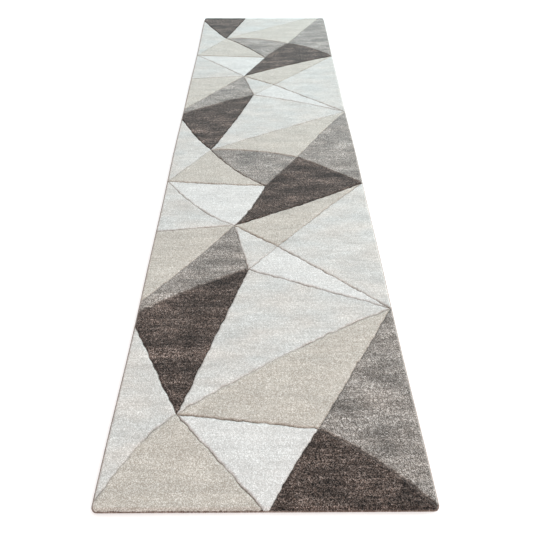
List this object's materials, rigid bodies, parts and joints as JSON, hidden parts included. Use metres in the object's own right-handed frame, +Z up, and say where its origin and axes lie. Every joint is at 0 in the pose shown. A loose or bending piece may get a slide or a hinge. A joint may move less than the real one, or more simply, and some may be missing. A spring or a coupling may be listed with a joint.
{
  "type": "runner rug",
  "caption": "Long narrow floor runner with a cut pile in white, cream, beige, grey and dark brown facets, parted by carved grooves, with overcast edges.",
  "frame": {"origin": "centre of the underside, on the floor", "axes": "+Z up from the floor, +Y along the rug from its near end to its far end, +X across it to the right"},
  "size_m": [0.8, 3, 0.0134],
  "materials": {
    "white_pile": "matt cut pile, white yarn",
    "cream_pile": "matt cut pile, heathered cream yarn",
    "beige_pile": "matt cut pile, heathered beige yarn",
    "grey_pile": "matt cut pile, heathered taupe grey yarn",
    "dark_pile": "matt cut pile, heathered dark brown yarn",
    "edge_yarn": "matt brown overcast yarn",
    "ground_cloth": "matt jute and cotton weave",
    "back_coat": "thin latex size on the woven back, matt"
  },
  "bodies": {
    "root": {"back_coat": "back_coat", "far_end_overcast": "edge_yarn", "ground_cloth": "ground_cloth", "left_side_overcast": "edge_yarn", "near_end_overcast": "edge_yarn", "pile_beige_fan_1": "beige_pile", "pile_beige_fan_2": "beige_pile", "pile_beige_fan_3": "beige_pile", "pile_beige_left_1": "beige_pile", "pile_beige_left_2": "beige_pile", "pile_beige_triangle_1": "beige_pile", "pile_beige_triangle_2": "beige_pile", "pile_beige_triangle_3": "beige_pile", "pile_beige_wedge_1": "beige_pile", "pile_beige_wedge_2": "beige_pile", "pile_cream_fan_1": "cream_pile", "pile_cream_fan_2": "cream_pile", "pile_cream_fan_3": "cream_pile", "pile_cream_left_high_1": "cream_pile", "pile_cream_left_high_2": "cream_pile", "pile_cream_left_low_1": "cream_pile", "pile_cream_left_low_2": "cream_pile", "pile_cream_left_low_3": "cream_pile", "pile_cream_right_1": "cream_pile", "pile_cream_right_2": "cream_pile", "pile_cream_small_1": "cream_pile", "pile_cream_small_2": "cream_pile", "pile_dark_left_1": "dark_pile", "pile_dark_left_2": "dark_pile", "pile_dark_left_3": "dark_pile", "pile_dark_right_1": "dark_pile", "pile_dark_right_2": "dark_pile", "pile_dark_right_3": "dark_pile", "pile_grey_left_1": "grey_pile", "pile_grey_left_2": "grey_pile", "pile_grey_right_1": "grey_pile", "pile_grey_right_2": "grey_pile", "pile_grey_right_3": "grey_pile", "pile_kite_1": "white_pile", "pile_kite_2": "grey_pile", "pile_kite_3": "grey_pile", "pile_white_left_1": "white_pile", "pile_white_left_2": "white_pile", "pile_white_needle_1": "white_pile", "pile_white_needle_2": "white_pile", "right_side_overcast": "edge_yarn"}
  },
  "joints": []
}
